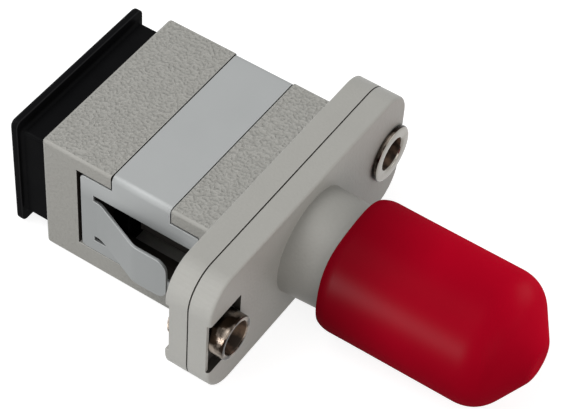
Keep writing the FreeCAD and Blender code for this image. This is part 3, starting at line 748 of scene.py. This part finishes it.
RIVET_TREE = rivet_tree()
rivets = []
for node, own in RIVETS.items():
    low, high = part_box(node)
    rivet = grown("hollow_" + node, RIVET_TREE, {**RIVET_BOTH, **own, "Length": high.y - low.y})
    # Painted shade on the near tail and on the edge of each head.
    face_mark(rivet.data, "bare_and_shaded", unplated, node)
    face_mark(rivet.data, "bore", in_bore, node)
    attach(rivet, "adapter")
    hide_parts(node)
    rivets.append(rivet)

# Panel clip: one blanked and folded strip of satin spring steel that snaps into the shell's recess.
# Its strap crosses the top, and on each side a framed plate carries a tongue bent out to grip the
# panel. Lower down, the plates and tongues are painted darker than the strap, as painted shade.
STEEL = (0.39, 0.4, 0.4, 1)
STEEL_DULL = (0.37, 0.38, 0.38, 1)
# Painted shade: the clip's sides turn darker below the strap.
STEEL_SIDE_SHADE = (0.3, 0.31, 0.31, 1)
# Painted highlight: the clip's edges are painted paler.
STEEL_EDGE_HIGHLIGHT = (0.45, 0.46, 0.46, 1)
SIDE_SHADE_FROM = 3.0 * MM
SIDE_SHADE_FULLY = 1.7 * MM
ROLLING = (0.12, 1.0, 0.12)
ROLLED_NOISE = (7000.0, 3.0)
STEEL_CLOUDS = (300.0, 3.0)
STEEL_ROUGH = (0.6, 0.66)
STEEL_RELIEF = (0.12, 0.006 * MM)
STEEL_HIGHLIGHT_SHARE = 0.6
CLIP_EDGE = 0.03 * MM


def satin_steel():
    """Rolled steel: faint lines along the strip, a slow cloudiness, painted shade lower down the
    sides and a painted highlight on the edges.
    """
    material, tree, shader = new_material("satin_steel", {"Metallic": 1.0})
    place = own_place(tree)
    rolled = add(tree, "ShaderNodeMapping", (), {"Scale": ROLLING}, {"Vector": place})
    lines = noise(tree, rolled.outputs[0], *ROLLED_NOISE)
    clouds = noise(tree, place, *STEEL_CLOUDS)
    height = add(tree, "ShaderNodeSeparateXYZ", (), (), {"Vector": place}).outputs["Z"]
    # Painted shade, growing lower down the clip's sides.
    side_shade = ranged(tree, height, 0.0, 1.0, SIDE_SHADE_FROM, SIDE_SHADE_FULLY)
    bright = mixed(tree, clouds, STEEL, STEEL_DULL)
    toned = mixed(tree, side_shade, bright, STEEL_SIDE_SHADE)
    feed(tree, shader, {
        "Base Color": worn_edges(tree, toned, STEEL_EDGE_HIGHLIGHT, STEEL_HIGHLIGHT_SHARE),
        "Roughness": ranged(tree, clouds, *STEEL_ROUGH),
        "Normal": bumped(tree, lines, *STEEL_RELIEF),
    })
    return material


clip = finished_copy("panel_clip", "folded_clip", CLIP_EDGE)
clip.data.materials.append(satin_steel())
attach(clip, "adapter")
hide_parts("panel_clip")

# Dust plug of the square socket: a hollow stem with a collar, moulded in one piece in black
# plastic. It is pushed in by hand and pulled out by its thin rim.
PLUG_BLACK = (0.003, 0.0032, 0.0036, 1)
PLUG_CLOUD = (0.007, 0.007, 0.0076, 1)
# Grey edges of the plug: wear and a painted highlight.
PLUG_EDGE_GREY = (0.02, 0.02, 0.021, 1)
PLUG_SKIN = (5000.0, 450.0)
PLUG_ROUGH = (0.42, 0.6)
PLUG_RELIEF = (0.25, 0.012 * MM)
PLUG_EDGE_PALING = 0.8
PLUG_EDGE = 0.06 * MM


def black_moulding():
    """Black plastic under a thin gloss, faintly clouded and grey at its edges, for wear and as a
    painted highlight.
    """
    material, tree, shader = new_material("black_moulding", {
        "Specular IOR Level": 0.0, "Coat Weight": 0.06, "Coat Roughness": 0.4})
    pits, clouds = skinned(tree, *PLUG_SKIN)
    cloudy = mixed(tree, clouds, PLUG_BLACK, PLUG_CLOUD)
    feed(tree, shader, {
        "Base Color": worn_edges(tree, cloudy, PLUG_EDGE_GREY, PLUG_EDGE_PALING),
        "Roughness": ranged(tree, clouds, *PLUG_ROUGH),
        "Normal": bumped(tree, pits, *PLUG_RELIEF),
    })
    return material


plug = finished_copy("sc_dust_plug", "square_dust_plug", PLUG_EDGE)
plug.data.materials.append(black_moulding())
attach(plug, "dust_plug")
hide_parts("sc_dust_plug")

# Dust cap of the barrel: soft red vinyl, dip-moulded, pushed over the thread by hand.
# Its wall is thin and a little uneven, so the mouth is rounded and waves slightly.
CAP_RED = (0.37, 0.0006, 0.0125, 1)
CAP_DEEP = (0.29, 0.0006, 0.009, 1)
# Painted shade: the cap darkens towards its mouth.
CAP_MOUTH_SHADE = (0.15, 0.0003, 0.005, 1)
CAP_OUTER = 4.45 * MM
CAP_INNER = 3.98 * MM
CAP_PAST_BARREL = 3.55 * MM
CAP_MOUTH = -6.2 * MM
CAP_STEP = -13.2 * MM
CAP_TIP = -19.4 * MM
CAP_TAPER = 2.15 * MM
CAP_TIP_RADIUS = 1.2 * MM
CAP_WALL = 0.9 * MM
CAP_LIP = 0.24 * MM
CAP_LIP_LENGTH = 0.5 * MM
CAP_SEGMENTS = 144
CAP_SPACING = 0.35 * MM
WIDE_ROUNDING = 0.5 * MM
WIDE_STEPS, NARROW_STEPS = 14, 8
CAP_SKIN = (2500.0, 220.0)
CAP_ROUGH = (0.36, 0.5)
CAP_RELIEF = (0.6, 0.08 * MM)
CAP_PITS = 0.03
MOUTH_SHADE_REACH = 6.5 * MM
MOUTH_SHADE_MOST = 0.9
MOUTH_REACH = 3.5 * MM
MOUTH_WAVES = ((0.05 * MM, 3, 0.6), (0.035 * MM, 5, 2.1))
MOUTH_SWELL, SWELL_LOBES, SWELL_PHASE = 0.006, 2, 0.9


def rounded_line(corners):
    """Points along a line of (radius, place, rounding) corners, each eased by its rounding."""
    points = []
    for before, corner, after in zip(corners, corners[1:], corners[2:]):
        here = Vector(corner[:2])
        back = (Vector(before[:2]) - here).normalized() * corner[2]
        ahead = (Vector(after[:2]) - here).normalized() * corner[2]
        steps = WIDE_STEPS if corner[2] > WIDE_ROUNDING else NARROW_STEPS
        for step in range(steps + 1):
            share = step / steps
            points.append(here + back * (1 - share) ** 2 + ahead * share ** 2)
    return [Vector(corners[0][:2])] + points + [Vector(corners[-1][:2])]


def filled_in(points, spacing):
    """Add points on the long straight runs of a line."""
    filled = []
    for first, second in zip(points, points[1:]):
        count = max(1, round((second - first).length / spacing))
        filled += [first.lerp(second, step / count) for step in range(count)]
    return filled + [points[-1]]


def cap_ring(shape, radius, place):
    """One ring of the cap's wall, which waves and swells the more, the nearer the mouth is."""
    soft = max(0.0, 1 - (CAP_MOUTH - place) / MOUTH_REACH) ** 2
    ring = []
    for number in range(CAP_SEGMENTS):
        angle = 2 * math.pi * number / CAP_SEGMENTS
        drawn_back = sum(height * (math.sin(lobes * angle + phase) - 1)
                         for height, lobes, phase in MOUTH_WAVES)
        swell = 1 + MOUTH_SWELL * soft * math.sin(SWELL_LOBES * angle + SWELL_PHASE)
        ring.append(shape.verts.new((radius * swell * math.cos(angle), place + drawn_back * soft,
                                     radius * swell * math.sin(angle))))
    return ring


def cap_mesh():
    """Turn the cap's wall about the barrel, from the middle of its inside to its tip."""
    wall = filled_in(rounded_line([
        (0, CAP_TIP + CAP_WALL, 0),
        (CAP_TIP_RADIUS - CAP_WALL / 2, CAP_TIP + CAP_WALL, 0.4 * MM),
        (CAP_PAST_BARREL, CAP_TIP + CAP_TAPER + CAP_WALL / 2, 0.6 * MM),
        (CAP_PAST_BARREL, CAP_STEP, 0.05 * MM),
        (CAP_INNER, CAP_STEP, 0.05 * MM),
        (CAP_INNER, CAP_MOUTH, 0.1 * MM),
        (CAP_OUTER - CAP_LIP, CAP_MOUTH, 0.1 * MM),
        (CAP_OUTER, CAP_MOUTH - CAP_LIP_LENGTH, 0.45 * MM),
        (CAP_OUTER, CAP_TIP + CAP_TAPER, 1.4 * MM),
        (CAP_TIP_RADIUS, CAP_TIP, 0.5 * MM),
        (0, CAP_TIP, 0),
    ]), CAP_SPACING)
    shape = bmesh.new()
    rings = [cap_ring(shape, radius, place) for radius, place in wall[1:-1]]
    round_again = [(at, (at + 1) % CAP_SEGMENTS) for at in range(CAP_SEGMENTS)]
    for first, second in zip(rings, rings[1:]):
        for at, after in round_again:
            shape.faces.new((first[at], first[after], second[after], second[at]))
    for ring, place in ((rings[0], wall[0].y), (rings[-1], wall[-1].y)):
        pole = shape.verts.new((0, place, 0))
        for at, after in round_again:
            shape.faces.new((ring[at], ring[after], pole))
    bmesh.ops.recalc_face_normals(shape, faces=shape.faces)
    for face in shape.faces:
        face.smooth = True
    mesh = bpy.data.meshes.new("vinyl_cap")
    shape.to_mesh(mesh)
    shape.free()
    return mesh


def soft_vinyl():
    """Red vinyl under a faint gloss, darker towards the mouth as painted shade, with an uneven
    wall.
    """
    material, tree, shader = new_material("soft_vinyl", {
        "Specular IOR Level": 0.0, "Coat Weight": 0.03, "Coat Roughness": 0.38})
    pits, clouds = skinned(tree, *CAP_SKIN)
    along = add(tree, "ShaderNodeSeparateXYZ", (), (), {"Vector": own_place(tree)}).outputs["Y"]
    # Painted shade, deepest at the mouth.
    limits = {"From Min": CAP_MOUTH - MOUTH_SHADE_REACH, "From Max": CAP_MOUTH, "To Max": MOUTH_SHADE_MOST}
    mouth = add(tree, "ShaderNodeMapRange", {"interpolation_type": "SMOOTHSTEP"}, limits,
                {"Value": along})
    body = mixed(tree, clouds, CAP_RED, CAP_DEEP)
    uneven = combined(tree, "MULTIPLY_ADD", pits, CAP_PITS, clouds)
    feed(tree, shader, {
        "Base Color": mixed(tree, mouth.outputs["Result"], body, CAP_MOUTH_SHADE),
        "Roughness": ranged(tree, clouds, *CAP_ROUGH),
        "Normal": bumped(tree, uneven, *CAP_RELIEF),
    })
    return material


cap = bpy.data.objects.new("vinyl_dust_cap", cap_mesh())
bpy.context.scene.collection.objects.link(cap)
cap.data.materials.append(soft_vinyl())
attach(cap, "dust_cap")
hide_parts("barrel_dust_cap")

# Floor: a plain pale sheet of paper, laid under the part's lowest edge.
# It is white to the camera except where the part shades it.
FLOOR_HALF = 0.6
FLOOR_GAP = 0.02 * MM
FLOOR_PALE = (0.4, 0.4, 0.4, 1)
FLOOR_LIFT = 0.84
floor_low = cad_box[0][2] - FLOOR_GAP
floor_mesh = bpy.data.meshes.new("floor")
floor_mesh.from_pydata([(x * FLOOR_HALF, y * FLOOR_HALF, floor_low)
                        for x, y in ((-1, -1), (1, -1), (1, 1), (-1, 1))], [], [(0, 1, 2, 3)])
floor = bpy.data.objects.new("floor", floor_mesh)
bpy.context.scene.collection.objects.link(floor)


def seen_rays(tree):
    """One where the background is seen directly, in a reflection or through glass."""
    path = add(tree, "ShaderNodeLightPath").outputs
    seen = combined(tree, "MAXIMUM", path["Is Camera Ray"], path["Is Glossy Ray"])
    return combined(tree, "MAXIMUM", seen, path["Is Transmission Ray"])


floor_finish = bpy.data.materials.new("floor_paper")
floor_finish.use_nodes = True
paper = floor_finish.node_tree
paper.nodes.remove(paper.nodes["Principled BSDF"])
matt = add(paper, "ShaderNodeBsdfDiffuse", (), {"Color": FLOOR_PALE})
glow = add(paper, "ShaderNodeEmission", (), (),
           {"Strength": ranged(paper, seen_rays(paper), 0.0, FLOOR_LIFT)})
sheet = add(paper, "ShaderNodeAddShader", (), (), {0: matt.outputs[0], 1: glow.outputs[0]})
feed(paper, paper.nodes["Material Output"], {"Surface": sheet.outputs[0]})
floor_mesh.materials.append(floor_finish)

# Light: a pale studio all round, a wide soft box above, a warm fill in front and a box low on each
# side. A strip beside the near box draws the highlights of the cap and the rivets, and lights
# nothing else. A box behind the cap's tip lights the cap alone.
AMBIENT = 0.46
WHITE = (1, 1, 1)
WARM_WHITE = (1.0, 0.93, 0.89)
shiny = bpy.data.collections.new("shiny")
for piece in (cap, *rivets):
    shiny.objects.link(piece)
cap_alone = bpy.data.collections.new("cap_alone")
cap_alone.objects.link(cap)
world = bpy.data.worlds.new("studio")
bpy.context.scene.world = world
world.use_nodes = True
studio = world.node_tree
back = studio.nodes["Background"]
back.inputs["Color"].default_value = (*WHITE, 1)
feed(studio, back, {"Strength": ranged(studio, seen_rays(studio), AMBIENT, 1.0)})
for name, place, size, power, colour, lit in (
        ("top_box", (-0.13, 0.15, 0.33), 0.26, 0.68, WHITE, None),
        ("near_side_box", (-0.31, 0.11, 0.056), 0.09, 0.11, WHITE, None),
        ("near_strip", (-0.305, 0.108, 0.055), 0.12, 2.2, WHITE, shiny),
        ("front_fill", (-0.16, -0.31, 0.1), 0.24, 0.32, WARM_WHITE, None),
        ("far_side_box", (0.16, -0.32, 0.08), 0.14, 0.1, WHITE, None),
        ("tip_box", (0.29, -0.15, 0.09), 0.18, 0.95, WHITE, cap_alone)):
    lamp = bpy.data.lights.new(name, "AREA")
    lamp.size = size
    lamp.energy = power
    lamp.color = colour
    box = bpy.data.objects.new(name, lamp)
    box.location = place
    box.rotation_euler = (-Vector(place)).to_track_quat("-Z", "Y").to_euler()
    box.visible_diffuse = name != "near_strip"
    if lit:
        box.light_linking.receiver_collection = lit
    bpy.context.scene.collection.objects.link(box)

# Camera: a long lens, high on the side of the near rivet and tilted a little.
# It stands where the part was photographed from, as far as one camera can fit the whole picture.
AZIMUTH = math.radians(-59.671)
ELEVATION = math.radians(48.811)
ROLL = math.radians(-4.586)
DISTANCE = 126.853 * MM
SIDE_SHIFT = 1.311 * MM
UP_SHIFT = 0.667 * MM
LENS = 127.67
SENSOR = 36
NEAREST_SEEN = 1 * MM
FARTHEST_SEEN = 10
back_way = Vector((math.sin(AZIMUTH) * math.cos(ELEVATION),
                   -math.cos(AZIMUTH) * math.cos(ELEVATION), math.sin(ELEVATION)))
level = Vector((math.cos(AZIMUTH), math.sin(AZIMUTH), 0))
upward = back_way.cross(level)
right_way = level * math.cos(ROLL) - upward * math.sin(ROLL)
up_way = level * math.sin(ROLL) + upward * math.cos(ROLL)
stand = right_way * SIDE_SHIFT + up_way * UP_SHIFT + back_way * DISTANCE
turn = Matrix((right_way, up_way, back_way)).transposed().to_4x4()
lens = bpy.data.cameras.new("camera")
lens.sensor_fit = "HORIZONTAL"
lens.sensor_width = SENSOR
lens.lens = LENS
lens.clip_start = NEAREST_SEEN
lens.clip_end = FARTHEST_SEEN
camera = bpy.data.objects.new("camera", lens)
camera.matrix_world = Matrix.Translation(stand) @ turn
bpy.context.scene.collection.objects.link(camera)
bpy.context.scene.camera = camera
bpy.context.scene.view_settings.view_transform = "Standard"
